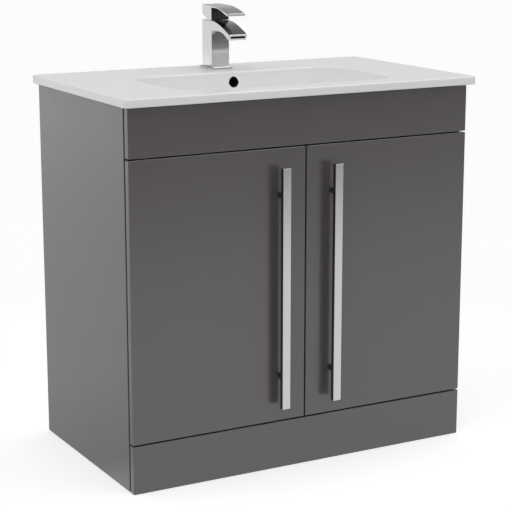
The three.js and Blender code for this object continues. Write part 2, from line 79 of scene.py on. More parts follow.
class Tree:
    """A Principled material and short ways to feed it."""

    def __init__(self, name, **sockets):
        self.material = bpy.data.materials.new(name)
        self.material.use_nodes = True
        self.nodes = self.material.node_tree.nodes
        self.links = self.material.node_tree.links
        self.shader = self.nodes["Principled BSDF"]
        for socket, value in sockets.items():
            self.shader.inputs[socket.replace("_", " ")].default_value = value
        self.place = self.nodes.new("ShaderNodeTexCoord").outputs["Object"]

    def noise(self, scale, detail, stretch=(1, 1, 1)):
        mapping = self.nodes.new("ShaderNodeMapping")
        mapping.inputs["Scale"].default_value = stretch
        self.links.new(self.place, mapping.inputs["Vector"])
        texture = self.nodes.new("ShaderNodeTexNoise")
        texture.inputs["Scale"].default_value = scale
        texture.inputs["Detail"].default_value = detail
        self.links.new(mapping.outputs["Vector"], texture.inputs["Vector"])
        return texture.outputs["Fac"]

    def spread(self, value, low, high):
        """Moves a noise onto low to high."""
        node = self.nodes.new("ShaderNodeMapRange")
        node.inputs["From Min"].default_value = NOISE_LOW
        node.inputs["From Max"].default_value = NOISE_HIGH
        node.inputs["To Min"].default_value = low
        node.inputs["To Max"].default_value = high
        self.links.new(value, node.inputs["Value"])
        return node.outputs["Result"]

    def blend(self, factor, first, second):
        """A mix of two colours. The first can also be an output."""
        node = self.nodes.new("ShaderNodeMix")
        node.data_type = "RGBA"
        start, end = [socket for socket in node.inputs if socket.type == "RGBA"]
        if isinstance(first, tuple):
            start.default_value = (*first, 1)
        else:
            self.links.new(first, start)
        end.default_value = (*second, 1)
        self.links.new(factor, node.inputs["Factor"])
        return [socket for socket in node.outputs if socket.type == "RGBA"][0]

    def colour(self, output):
        self.links.new(output, self.shader.inputs["Base Color"])

    def roughness(self, output):
        self.links.new(output, self.shader.inputs["Roughness"])

    def bump(self, *heights):
        """Each height is (noise output, depth in metres). Later ones stack on earlier ones."""
        normal = None
        for height, depth in heights:
            node = self.nodes.new("ShaderNodeBump")
            node.inputs["Distance"].default_value = depth
            self.links.new(height, node.inputs["Height"])
            if normal:
                self.links.new(normal, node.inputs["Normal"])
            normal = node.outputs["Normal"]
        self.links.new(normal, self.shader.inputs["Normal"])


def grey(level):
    return (level, level, level)


def lacquer():
    tree = Tree("gloss_grey_lacquer", IOR=1.8)
    tone = tree.noise(3.0, 4.0)
    tree.colour(tree.blend(tone, (0.0845, 0.0732, 0.0758), (0.0925, 0.0805, 0.0832)))
    tree.roughness(tree.spread(tree.noise(14.0, 4.0), 0.21, 0.25))
    tree.bump((tree.noise(260.0, 2.0), 0.000012), (tree.noise(11.0, 1.0), 0.0001))
    return tree.material


def carcass_board():
    tree = Tree("light_melamine_board", IOR=1.5)
    grain = tree.noise(24.0, 6.0, stretch=(1, 7, 7))
    tree.colour(tree.blend(grain, (0.60, 0.595, 0.58), (0.68, 0.675, 0.66)))
    tree.roughness(tree.spread(grain, 0.42, 0.55))
    tree.bump((tree.noise(700.0, 3.0), 0.00003))
    return tree.material


def ceramic():
    tree = Tree("white_glazed_ceramic", IOR=1.45)
    tree.colour(tree.blend(tree.noise(2.0, 0.0), (0.91, 0.915, 0.915), (0.93, 0.935, 0.935)))
    tree.roughness(tree.spread(tree.noise(2.0, 0.0), 0.26, 0.275))
    return tree.material


# Painted shade: a near-black for the faces that cutters leave inside holes and slots.
def hole_shade_material():
    tree = Tree("painted_hole_shade", IOR=1.4)
    tree.colour(tree.blend(tree.noise(300.0, 4.0), grey(0.006), grey(0.012)))
    tree.roughness(tree.spread(tree.noise(300.0, 4.0), 0.8, 0.95))
    return tree.material


def chrome():
    tree = Tree("polished_chrome", Metallic=1.0)
    tree.colour(tree.blend(tree.noise(40.0, 3.0), (0.62, 0.625, 0.635), (0.66, 0.665, 0.675)))
    tree.roughness(tree.spread(tree.noise(90.0, 5.0), 0.05, 0.09))
    tree.bump((tree.noise(60.0, 2.0), 0.00002))
    return tree.material


def satin_metal():
    """Brushed on the face and the back. The flanks are painted dark, a painted reflection of the dark door
    beside them.
    """
    tree = Tree("satin_handle_metal", Metallic=1.0)
    brushing = tree.noise(900.0, 3.0, stretch=(1, 1, 0.02))
    face = tree.blend(brushing, grey(0.56), grey(0.62))
    split = tree.nodes.new("ShaderNodeSeparateXYZ")
    tree.links.new(tree.nodes.new("ShaderNodeTexCoord").outputs["Normal"], split.inputs["Vector"])
    # painted reflection: faces that turn sideways are painted near black
    painted_flank_reflection = tree.nodes.new("ShaderNodeMath")
    painted_flank_reflection.operation = "ABSOLUTE"
    tree.links.new(split.outputs["X"], painted_flank_reflection.inputs[0])
    tree.colour(tree.blend(painted_flank_reflection.outputs["Value"], face, grey(0.14)))
    tree.roughness(tree.spread(brushing, 0.1, 0.18))
    tree.bump((brushing, 0.00001))
    return tree.material


def metal(name, dark, light, low, high, scale=350.0):
    """A speckled metal between two colours and two roughnesses."""
    tree = Tree(name, Metallic=1.0)
    speckle = tree.noise(scale, 4.0)
    tree.colour(tree.blend(speckle, dark, light))
    tree.roughness(tree.spread(speckle, low, high))
    tree.bump((tree.noise(scale * 2, 2.0), 0.00001))
    return tree.material


def matt(name, dark, light, low, high):
    """A speckled plastic or rubber between two colours and two roughnesses."""
    tree = Tree(name, IOR=1.45)
    speckle = tree.noise(500.0, 4.0)
    tree.colour(tree.blend(speckle, dark, light))
    tree.roughness(tree.spread(speckle, low, high))
    tree.bump((speckle, 0.00004))
    return tree.material


MATERIALS = {
    "lacquer": lacquer(),
    "carcass_board": carcass_board(),
    "ceramic": ceramic(),
    "chrome": chrome(),
    "satin_metal": satin_metal(),
    "post_metal": metal("dark_post_metal", grey(0.16), grey(0.22), 0.25, 0.35),
    "hinge_steel": metal("nickel_plate", grey(0.52), grey(0.60), 0.2, 0.32),
    "zinc_steel": metal("zinc_plate", (0.42, 0.44, 0.46), (0.55, 0.56, 0.57), 0.3, 0.45, 180.0),
    "rubber": matt("black_rubber", grey(0.015), grey(0.03), 0.7, 0.85),
    "plastic": matt("grey_plastic", grey(0.24), grey(0.30), 0.4, 0.55),
}
PAINTED_HOLE_SHADE = hole_shade_material()  # painted shade: near black for the insides of small holes, where little light gets in
# painted shade: a near-black chrome for the lever's underside and the front of its block
PAINTED_SHADE_CHROME = metal("chrome_painted_shade", grey(0.05), grey(0.09), 0.22, 0.32, 200.0)


# ---------------------------------------------------------------- mesh tools
def from_faces(name, points, faces, material=None):
    """A new piece, with its faces turned outward."""
    mesh = bpy.data.meshes.new(name)
    mesh.from_pydata([tuple(point) for point in points], [], faces)
    mesh.validate()
    shape = bmesh.new()
    shape.from_mesh(mesh)
    bmesh.ops.recalc_face_normals(shape, faces=shape.faces)
    shape.to_mesh(mesh)
    shape.free()
    if material:
        mesh.materials.append(material)
    piece = bpy.data.objects.new(name, mesh)
    bpy.context.scene.collection.objects.link(piece)
    return piece


def modify(piece, kind, **settings):
    modifier = piece.modifiers.new(kind.lower(), kind)
    for setting, value in settings.items():
        setattr(modifier, setting, value)
    return modifier


def bake(piece):
    """Turns a piece's modifiers into its own mesh."""
    bpy.context.view_layer.update()
    graph = bpy.context.evaluated_depsgraph_get()
    mesh = bpy.data.meshes.new_from_object(piece.evaluated_get(graph))
    old = piece.data
    piece.modifiers.clear()
    piece.data = mesh
    bpy.data.meshes.remove(old)


def carve(piece, *cutters, operation="DIFFERENCE"):
    """Booleans, one after another. The cutters' own material stays on the faces that they leave."""
    for cutter in cutters:
        modify(piece, "BOOLEAN", operation=operation, object=cutter, solver="EXACT",
               material_mode="TRANSFER")
        bake(piece)
        bpy.data.objects.remove(cutter)


def soften(piece, width, segments):
    """A fine round on every edge sharper than 50 degrees."""
    modify(piece, "BEVEL", width=width, segments=segments, limit_method="ANGLE",
           angle_limit=math.radians(50), use_clamp_overlap=True)
    bake(piece)


def shade(piece, angle=32):
    """Smooth over gentle edges. The weighting keeps wide flat faces flat up to their rounds."""
    piece.data.shade_smooth()
    piece.data.set_sharp_from_angle(angle=math.radians(angle))
    modify(piece, "WEIGHTED_NORMAL", mode="FACE_AREA", weight=100, keep_sharp=True)
    bake(piece)


def place(piece, node, replaces=True):
    """The piece rides with the node's body, and stands for it or adds to it."""
    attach(piece, BODY_OF[node])
    if replaces:
        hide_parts(node)


def prism(name, outline, low, high, axis, material=None):
    """A closed outline of 2-D points, extruded along x or z from low to high."""
    def corner(point, reach):
        if axis == "x":
            return (reach, point[0], point[1])
        return (point[0], point[1], reach)
    count = len(outline)
    points = [corner(p, low) for p in outline] + [corner(p, high) for p in outline]
    faces = [tuple(range(count)), tuple(range(2 * count - 1, count - 1, -1))]
    faces += [(i, (i + 1) % count, (i + 1) % count + count, i + count) for i in range(count)]
    return from_faces(name, points, faces, material)


def block(name, low, high, material):
    """A box cutter or a box to be joined on, between two corners."""
    outline = [(low.x, low.y), (high.x, low.y), (high.x, high.y), (low.x, high.y)]
    return prism(name, outline, low.z, high.z, "z", material)


def turned(name, profile, centre, axis, segments, material):
    """A profile of (radius, height) turned about an axis through centre.

    It starts and ends on the axis, or else it closes on itself.
    """
    closed = profile[0][0] > 0
    points, rows = [], []
    for radius, height in profile:
        if radius == 0:
            rows.append([len(points)])
            points.append(Vector((0, 0, height)))
            continue
        rows.append(list(range(len(points), len(points) + segments)))
        for i in range(segments):
            angle = 2 * math.pi * i / segments
            points.append(Vector((radius * math.cos(angle), radius * math.sin(angle), height)))
    faces = []
    pairs = list(zip(rows, rows[1:] + (rows[:1] if closed else [])))
    for first, second in pairs if closed else pairs[: len(rows) - 1]:
        for i in range(segments):
            j = (i + 1) % segments
            corners = [first[i % len(first)], first[j % len(first)]]
            corners += [second[j % len(second)], second[i % len(second)]]
            face = list(dict.fromkeys(corners))
            if len(face) > 2:
                faces.append(tuple(face))
    turns = {
        "x": Matrix.Rotation(math.pi / 2, 4, "Y"),
        "y": Matrix.Rotation(-math.pi / 2, 4, "X"),
        "z": Matrix(),
    }
    move = Matrix.Translation(centre) @ turns[axis]
    return from_faces(name, [move @ point for point in points], faces, material)


def rod(name, radius, length, start, segments, material):
    """An upright cylinder to cut or join with, standing on start."""
    profile = [(0, 0), (radius, 0), (radius, length), (0, length)]
    return turned(name, profile, start, "z", segments, material)


def arc(cx, cy, radius, start, end, steps):
    """Points on a circle, from one angle to another in degrees."""
    angles = [math.radians(start + (end - start) * i / steps) for i in range(steps + 1)]
    return [(cx + radius * math.cos(a), cy + radius * math.sin(a)) for a in angles]


def curve(start, first, second, end, steps=20):
    """Points on a cubic curve, without its first point."""
    points = []
    for i in range(1, steps + 1):
        t = i / steps
        s = 1 - t
        pulls = [(s ** 3, start), (3 * s * s * t, first), (3 * s * t * t, second), (t ** 3, end)]
        points.append(tuple(sum(weight * point[k] for weight, point in pulls) for k in (0, 1)))
    return points


# ---------------------------------------------------------------- nodes kept from the frame
ROUND_EDGES = {
    "lacquer": (0.0015, 4),
    "carcass_board": (0.0006, 2),
    "satin_metal": (0.0006, 3),
    "hinge_steel": (0.0004, 2),
    "zinc_steel": (0.0004, 2),
    "rubber": (0.0006, 2),
    "chrome": (0.0006, 3),
    "plastic": (0.0005, 2),
}


def gentle_edges():
    """A node group that shades every edge under 35 degrees smooth, whatever normals the mesh came with."""
    group = bpy.data.node_groups.new("smooth_gentle_edges", "GeometryNodeTree")
    group.interface.new_socket("Geometry", in_out="INPUT", socket_type="NodeSocketGeometry")
    group.interface.new_socket("Geometry", in_out="OUTPUT", socket_type="NodeSocketGeometry")
    nodes, links = group.nodes, group.links
    plain = nodes.new("GeometryNodeRemoveAttribute")
    plain.inputs["Name"].default_value = "custom_normal"
    faces = nodes.new("GeometryNodeSetShadeSmooth")
    edges = nodes.new("GeometryNodeSetShadeSmooth")
    edges.domain = "EDGE"
    gentle = nodes.new("FunctionNodeCompare")
    gentle.operation = "LESS_THAN"
    gentle.inputs["B"].default_value = math.radians(35)
    links.new(nodes.new("GeometryNodeInputMeshEdgeAngle").outputs["Unsigned Angle"], gentle.inputs["A"])
    links.new(nodes.new("NodeGroupInput").outputs["Geometry"], plain.inputs["Geometry"])
    links.new(plain.outputs["Geometry"], faces.inputs["Geometry"])
    links.new(faces.outputs["Geometry"], edges.inputs["Geometry"])
    links.new(gentle.outputs["Result"], edges.inputs["Shade Smooth"])
    links.new(edges.outputs["Geometry"], nodes.new("NodeGroupOutput").inputs["Geometry"])
    return group


GENTLE_EDGES = gentle_edges()


def keep_node(name):
    """A node whose shape is right gets its edges rounded and its slot's material.

    The rounds of a lacquered panel aren't clamped, because its small holes would thin them.
    """
    node = NODES[name]
    width, segments = ROUND_EDGES[SLOT_OF[name]]
    modify(node, "WELD", merge_threshold=0.01 * MM)
    modify(node, "DECIMATE", decimate_type="DISSOLVE", angle_limit=math.radians(0.5))
    modify(node, "BEVEL", width=width, segments=segments, limit_method="ANGLE",
           angle_limit=math.radians(40), use_clamp_overlap=SLOT_OF[name] != "lacquer")
    modify(node, "NODES", node_group=GENTLE_EDGES)
    modify(node, "WEIGHTED_NORMAL", mode="FACE_AREA", weight=100, keep_sharp=True)
    node.data.materials.clear()
    node.data.materials.append(MATERIALS[SLOT_OF[name]])


# ---------------------------------------------------------------- basin
BASIN_LOW, BASIN_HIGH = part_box("basin")
SLAB = 18 * MM
SLAB_CORNER = 7 * MM
SLAB_EDGE = 4 * MM  # radius of the slab's upper edge
BOWL_X = 260 * MM
BOWL_FRONT = FACE_Y + 40 * MM
BOWL_BACK = FACE_Y + 319 * MM
BOWL_FLOOR = 682 * MM
BOWL_WALL = 9 * MM
WASTE = at(0, 182, 0)
WASTE_HOLE = 22.5 * MM
BOSS = 38 * MM
# The bowl's wall first leans inward, over a height, and then turns into the floor.
LEAN = {"height": 56 * MM, "side": 9 * MM, "front": 10 * MM, "back": 7 * MM}
TURN = {"side": 88 * MM, "front": 82 * MM, "back": 77 * MM}
MOUTH_CORNER, FLOOR_CORNER = 72 * MM, 34 * MM
RIM_ROLL = 5 * MM
OVERFLOW = at(0, 319, 785)
OVERFLOW_R = 11.2 * MM


def quarter(steps):
    """Even steps through a quarter turn: how far its sine and its cosine fall short of one."""
    angles = [math.radians(90 * i / steps) for i in range(steps + 1)]
    return [(1 - math.sin(a), 1 - math.cos(a)) for a in angles]


def basin_directions():
    """Directions from the waste: evenly spread, and closer together at the slab's small corners."""
    angles = [math.radians(2.5 * i) for i in range(144)]
    for x in (BASIN_LOW.x, BASIN_HIGH.x):
        outward_x = math.copysign(SLAB_CORNER, x)
        for y in (BASIN_LOW.y, BASIN_HIGH.y):
            outward_y = -SLAB_CORNER if y == BASIN_LOW.y else SLAB_CORNER
            for i in range(7):
                turn = math.radians(15 * i)
                px = x - outward_x + outward_x * math.cos(turn)
                py = y - outward_y + outward_y * math.sin(turn)
                angles.append(math.atan2(py - WASTE.y, px - WASTE.x) % (2 * math.pi))
    least = 0.0012  # radians
    spaced = []
    for angle in sorted(angles):
        if not spaced or angle - spaced[-1] > least:
            spaced.append(angle)
    return [(math.cos(angle), math.sin(angle)) for angle in spaced]


DIRECTIONS = basin_directions()


def rounded_reach(direction, half, middle, radius):
    """Distance from the waste's axis, along direction, to a rounded rectangle round middle."""
    low, high = 0.0, 1.0
    for _ in range(34):
        reach = (low + high) / 2
        qx = abs(WASTE.x + reach * direction[0] - middle[0]) - (half[0] - radius)
        qy = abs(WASTE.y + reach * direction[1] - middle[1]) - (half[1] - radius)
        outside = math.hypot(max(qx, 0), max(qy, 0)) + min(max(qx, qy), 0) - radius
        low, high = (reach, high) if outside < 0 else (low, reach)
    return low


def circle_ring(z, radius):
    """A ring of points round the waste's axis."""
    return [(WASTE.x + radius * dx, WASTE.y + radius * dy, z) for dx, dy in DIRECTIONS]


def rectangle_ring(z, x_half, front, back, radius):
    """A ring of points on a rounded rectangle."""
    half, middle = (x_half, (back - front) / 2), (0, (front + back) / 2)
    ring = []
    for direction in DIRECTIONS:
        reach = rounded_reach(direction, half, middle, radius)
        ring.append((WASTE.x + reach * direction[0], WASTE.y + reach * direction[1], z))
    return ring


def slab_ring(z, inset):
    """The slab's outline, drawn in by inset."""
    return rectangle_ring(z, BASIN_HIGH.x - inset, BASIN_LOW.y + inset, BASIN_HIGH.y - inset,
                          max(SLAB_CORNER - inset, 1.5 * MM))


def bowl_ring(z, lean, turn, grow):
    """The bowl's outline, grown outward, after shares of the wall's lean and of its turn to the floor."""
    radius = MOUTH_CORNER + (FLOOR_CORNER - MOUTH_CORNER) * turn
    inset = {edge: LEAN[edge] * lean + TURN[edge] * turn for edge in TURN}
    return rectangle_ring(z, BOWL_X - inset["side"] + grow, BOWL_FRONT + inset["front"] - grow,
                          BOWL_BACK - inset["back"] + grow, radius + grow)


def bowl_rings(top, turn_height):
    """The ceramic's inside, from the foot of the waste hole up to the rim."""
    lip = 1.5 * MM
    start = -2 * MM
    rings = [circle_ring(BASIN_LOW.z, WASTE_HOLE), circle_ring(BOWL_FLOOR - 2 * MM, WASTE_HOLE)]
    rings += [circle_ring(BOWL_FLOOR - lip * s, WASTE_HOLE + lip * c) for s, c in quarter(3)]
    rings += [circle_ring(BOWL_FLOOR, 36 * MM), circle_ring(BOWL_FLOOR, 48 * MM)]
    rings += [bowl_ring(BOWL_FLOOR + turn_height * s, 1, c, 0) for s, c in reversed(quarter(18))]
    rings += [bowl_ring(top - share * LEAN["height"], share, 0, 0) for share in (0.75, 0.5, 0.25)]
    rings += [bowl_ring(top - RIM_ROLL * s, 0, 0, start + RIM_ROLL * c) for s, c in quarter(6)]
    return rings + [bowl_ring(top, 0, 0, start + RIM_ROLL + 1 * MM)]


def slab_rings(top, under):
    """The flat top, its edge and its underside."""
    foot = 2 * MM
    rings = [slab_ring(top, 6 * MM)]
    rings += [slab_ring(top - SLAB_EDGE * c, SLAB_EDGE * s) for s, c in quarter(6)]
    rings += [slab_ring(top - SLAB_EDGE - 1 * MM, 0), slab_ring(under + 3 * MM, 0)]
    rings += [slab_ring(under + foot * s, foot * c) for s, c in quarter(4)]
    return rings + [slab_ring(under, 5 * MM)]


def shell_rings(top, under, turn_height):
    """The bowl's outside, from the slab's underside down to the boss round the waste."""
    fillet = 5 * MM
    lean = 0.35
    floor_under = BOWL_FLOOR - BOWL_WALL
    rings = [bowl_ring(under, lean, 0, BOWL_WALL + 6 * MM)]
    rings += [bowl_ring(under - fillet * c, lean, 0, BOWL_WALL + fillet * s) for s, c in quarter(3)]
    rings.append(bowl_ring(top - LEAN["height"] - BOWL_WALL, 1, 0, BOWL_WALL))
    rings += [bowl_ring(floor_under + turn_height * s, 1, c, BOWL_WALL) for s, c in quarter(12)[1:]]
    rings += [circle_ring(floor_under, BOSS + 12 * MM), circle_ring(floor_under, BOSS + 3 * MM)]
    rings += [circle_ring(floor_under - 3 * MM, BOSS), circle_ring(BASIN_LOW.z + 1 * MM, BOSS)]
    return rings + [circle_ring(BASIN_LOW.z, BOSS - 1 * MM), circle_ring(BASIN_LOW.z, WASTE_HOLE + 1 * MM)]


def overflow_duct(under):
    """The ceramic duct behind and under the bowl, from the overflow down to the waste."""
    low, shallow = BASIN_LOW.z + 5 * MM, BOWL_FLOOR - 4 * MM
    front, foot, inner, back = (WASTE.y + reach * MM for reach in (30, 60, 135.5, 168))
    outline = [(front, low), (back, low), (back, under + 2 * MM), (inner, under + 2 * MM),
               (inner, BOWL_FLOOR + 30 * MM), (foot, shallow), (front, shallow)]
    return prism("duct", outline, -22 * MM, 22 * MM, "x", MATERIALS["ceramic"])


def overflow_cutter(top):
    """A round hole with a soft lip, square to the leaning back wall."""
    lip, depth, reach = 1.2 * MM, 23 * MM, 12 * MM
    mouth = OVERFLOW_R + lip
    profile = [(0, -reach), (mouth, -reach), (mouth, 0)]
    profile += [(OVERFLOW_R + lip * s, lip * c) for s, c in quarter(3)[1:]]
    profile += [(OVERFLOW_R, depth), (0, depth)]
    # the hole's inside takes painted shade from the cutter's near-black material
    cutter = turned("overflow_cutter", profile, Vector(), "y", 48, PAINTED_HOLE_SHADE)
    lean = math.atan2(LEAN["back"], LEAN["height"])
    wall_y = BOWL_BACK - LEAN["back"] * (top - OVERFLOW.z) / LEAN["height"]
    move = Matrix.Translation((0, wall_y, OVERFLOW.z)) @ Matrix.Rotation(lean, 4, "X")
    cutter.data.transform(move)
    return cutter


def basin():
    top = BASIN_HIGH.z
    under = top - SLAB
    turn_height = top - LEAN["height"] - BOWL_FLOOR
    rings = bowl_rings(top, turn_height) + slab_rings(top, under) + shell_rings(top, under, turn_height)
    count = len(DIRECTIONS)
    faces = []
    for k in range(len(rings)):
        here, there = k * count, ((k + 1) % len(rings)) * count
        for i in range(count):
            j = (i + 1) % count
            faces.append((here + i, here + j, there + j, there + i))
    points = [point for ring in rings for point in ring]
    piece = from_faces("basin_top", points, faces, MATERIALS["ceramic"])
    carve(piece, overflow_duct(under), operation="UNION")
    # these cutters leave painted shade inside the overflow channel
    channel = block("channel_cutter", at(-13, 332, 655), at(13, 342, 793), PAINTED_HOLE_SHADE)
    run = block("run_cutter", at(-13, 182, 655), at(13, 341, 665), PAINTED_HOLE_SHADE)
    tap_hole = rod("tap_cutter", 17.5 * MM, 40 * MM, at(0, 401, 780), 48, MATERIALS["ceramic"])
    carve(piece, channel, run, overflow_cutter(top), tap_hole)
    shade(piece, 30)
    place(piece, "basin")


# ---------------------------------------------------------------- waste
def waste_fitting():
    seat = BOWL_FLOOR + 0.3 * MM
    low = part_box("waste_body")[0].z
    flange = seat + 2 * MM
    bore, tube, rim = 17.5 * MM, 21.5 * MM, 33 * MM
    profile = [(bore, low), (bore, seat - 3 * MM), (bore + 3 * MM, flange - 0.6 * MM)]
    profile += [(bore + 4 * MM, flange), (rim - 0.8 * MM, flange), (rim - 0.2 * MM, flange - 0.4 * MM)]
    profile += [(rim, seat + 0.6 * MM), (rim - 0.4 * MM, seat), (tube, seat)]
    thread_top, pitch, groove = seat - 12 * MM, 4.6 * MM, 0.9 * MM
    for i in range(14):
        z = thread_top - i * pitch
        if z - pitch / 2 > low:
            profile += [(tube, z), (tube - groove, z - pitch / 2)]
    profile += [(tube, low + 0.6 * MM), (tube - 0.5 * MM, low)]
    material = MATERIALS["chrome"]
    body = turned("waste_fitting", profile, Vector((0, WASTE.y, 0)), "z", 72, material)
    carve(body, block("slot_cutter", at(-6, 182, 652), at(6, 222, 665), material))
    carve(body, block("bar", at(-18.5, 176, 666), at(18.5, 188, 674), material), operation="UNION")
    carve(body, rod("stem_cutter", 4.8 * MM, 20 * MM, at(0, 182, 660), 32, material))
    shade(body)
    place(body, "waste_body")


def waste_plug():
    start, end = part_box("waste_plug")[0].z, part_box("waste_plug")[1].z
    cap = end - 5.5 * MM
    stem, rim, dome, crown = 4.5 * MM, 30 * MM, 28, 1.9 * MM
    profile = [(0, start), (stem - 0.4 * MM, start), (stem, start + 0.4 * MM), (stem, cap)]
    profile += [(rim - 1 * MM, cap), (rim - 0.2 * MM, cap + 0.5 * MM), (rim, cap + 1.4 * MM)]
    profile += [(rim - 0.6 * MM, cap + 2.6 * MM), (dome * MM, cap + 3.5 * MM)]
    profile += [(r * MM, end - crown * (r / dome) ** 2) for r in (24, 20, 15, 10, 5, 0)]
    plug = turned("waste_plug_cap", profile, Vector((0, WASTE.y, 0)), "z", 96, MATERIALS["chrome"])
    shade(plug)
    place(plug, "waste_plug")


# ---------------------------------------------------------------- tap
STEM_Y = 396  # the lever's stem, in millimetres from the door face
TAP_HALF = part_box("tap_body")[1].x
TAP_TOP = 915  # top of the tap's body, in millimetres from the floor


def yz(points):
    """Profile points given in millimetres from the door face and the floor."""
    return [(FACE_Y + y * MM, z * MM) for y, z in points]


def high_y(node):
    """How far back a node reaches, in millimetres from the door face."""
    return (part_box(node)[1].y - FACE_Y) / MM


def tap_body():
    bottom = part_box("tap_body")[0].z / MM
    front, back, root = 378, high_y("tap_body"), 893.5
    tip, tip_under = (293.5, 889.5), (298, 877)
    outline = [(back, bottom), (back, TAP_TOP), (front, TAP_TOP)]
    outline += curve((front, TAP_TOP), (352, TAP_TOP), (322, 902), tip, 24)
    outline += [tip_under]
    outline += curve(tip_under, (312, 883), (322, root), (345, root))
    outline += [(front, root), (front, bottom)]
    body = prism("tap_column", yz(outline), -TAP_HALF, TAP_HALF, "x", MATERIALS["chrome"])
    soften(body, 0.9 * MM, 4)
    # the spout's slot takes painted shade
    slot = block("spout_cutter", at(-18, 288, 881.3), at(18, 304, 886), PAINTED_HOLE_SHADE)
    bore = rod("bore_cutter", 11.9 * MM, 40 * MM, at(0, STEM_Y, 891.7), 48, MATERIALS["chrome"])
    carve(body, slot, bore)
    shade(body)
    place(body, "tap_body")


def tap_lever():
    front, back, root, crown, under = 379, high_y("tap_lever"), 943.5, 949, TAP_TOP + 0.8
    shoulder, tip, tip_under = (front, crown - 0.7), (303, 934.3), (303.5, 928.8)
    outline = [(back, crown), shoulder]
    outline += curve(shoulder, (353, crown - 1.2), (331, 941.5), tip)
    outline += [tip_under]
    outline += curve(tip_under, (324, 934.5), (340, root), (362, root))
    outline += [(front, root), (front, under), (STEM_Y + 1, under), (back, 927.5)]
    lever = prism("tap_handle", yz(outline), -TAP_HALF, TAP_HALF, "x", MATERIALS["chrome"])
    soften(lever, 0.7 * MM, 4)
    # painted shade and dark reflection: the lever's downward faces and the front of its block, behind the
    # tip, take the near-black chrome
    lever.data.materials.append(PAINTED_SHADE_CHROME)
    behind_tip = FACE_Y + (tip_under[0] + 2) * MM
    for face in lever.data.polygons:
        painted_shade_face = face.normal.z < -0.3 or face.normal.y < -0.9
        if painted_shade_face and face.center.y > behind_tip and abs(face.normal.x) < 0.3:
            face.material_index = 1
    # the pocket takes painted shade
    pocket = block("pocket_cutter", at(-8, STEM_Y - 10, TAP_TOP - 5), at(8, STEM_Y + 10, 936), PAINTED_HOLE_SHADE)
    carve(lever, pocket)
    shade(lever)
    place(lever, "tap_lever")


def tap_foot():
    low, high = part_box("tap_base_plate")
    radius = 2.5 * MM
    left, right, front, back = low.x + radius, high.x - radius, low.y + radius, high.y - radius
    corners = []
    for cx, cy, start in ((right, front, -90), (right, back, 0), (left, back, 90), (left, front, 180)):
        corners += arc(cx, cy, radius, start, start + 90, 6)
    plate = prism("tap_foot", corners, low.z, high.z, "z", MATERIALS["chrome"])
    soften(plate, 0.7 * MM, 3)
    shade(plate)
    place(plate, "tap_base_plate")


# ---------------------------------------------------------------- handles and screws
SIDES = (("left", 1), ("right", -1))  # with the direction from each end panel to the middle
HEIGHTS = ("lower", "upper")
HANDLE_HEAD = 2.3 * MM  # height
HINGE_HEAD = (3.6 * MM, 1.7 * MM)  # radius and height


def screw_head(name, centre, facing, size, material):
    """A pan head with a cross recess. facing is an axis letter and +1 or -1, size a radius and a height."""
    axis, sign = facing
    radius, height = size
    angles = [math.radians(a) for a in (90, 72, 54, 36, 18, 0)]
    dome = [(radius * math.sin(a), height * (0.35 + 0.65 * math.cos(a))) for a in angles]
    profile = [(0, 0), (radius * 0.97, 0), *dome[:-1], (0, dome[-1][1])]
    if sign < 0:
        profile = [(r, -h) for r, h in profile]
    head = turned(name, profile, centre, axis, 32, material)
    depth, long, short = height * 0.55, radius * 0.55, radius * 0.13
    along = Vector((1, 0, 0)) if axis == "x" else Vector((0, 1, 0))
    face = centre + along * sign * height
    for across, up in ((long, short), (short, long)):
        reach = Vector((depth, across, up)) if axis == "x" else Vector((across, depth, up))
        carve(head, block("recess", face - reach, face + reach, material))
    shade(head)
    return head


def handle_post(side, height):
    node = f"{side}_{height}_handle_post"
    low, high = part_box(node)
    middle = (low + high) / 2
    radius, length = (high.x - low.x) / 2, high.y - low.y
    chamfer, bore, bore_end = 0.5 * MM, 2.4 * MM, length - 12.6 * MM
    profile = [(0, 0), (radius - chamfer, 0), (radius, chamfer), (radius, length - chamfer)]
    profile += [(radius - chamfer, length), (bore, length), (bore, bore_end), (0, bore_end - 0.1 * MM)]
    foot = Vector((middle.x, low.y, middle.z))
    post = turned(f"{side}_{height}_post", profile, foot, "y", 48, MATERIALS["post_metal"])
    shade(post)
    place(post, node)
    return middle


def handle_screw(side, height, middle):
    """The screw that holds a post, in line with its middle, from behind the door."""
    node = f"{side}_{height}_handle_screw"
    low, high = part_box(node)
    steel = MATERIALS["zinc_steel"]
    back = high.y - HANDLE_HEAD
    seat = Vector((middle.x, back, middle.z))
    size = ((high.x - low.x) / 2, HANDLE_HEAD)
    head = screw_head(f"{side}_{height}_screw", seat, ("y", 1), size, steel)
    length = back - low.y + 0.5 * MM
    profile = [(0, 0), (1.5 * MM, 0), (2 * MM, 0.6 * MM), (2 * MM, length), (0, length)]
    shank = turned("shank", profile, Vector((middle.x, low.y, middle.z)), "y", 24, steel)
    carve(head, shank, operation="UNION")
    shade(head)
    place(head, node)


def handles():
    for side, _ in SIDES:
        for height in HEIGHTS:
            middle = handle_post(side, height)
            handle_screw(side, height, middle)


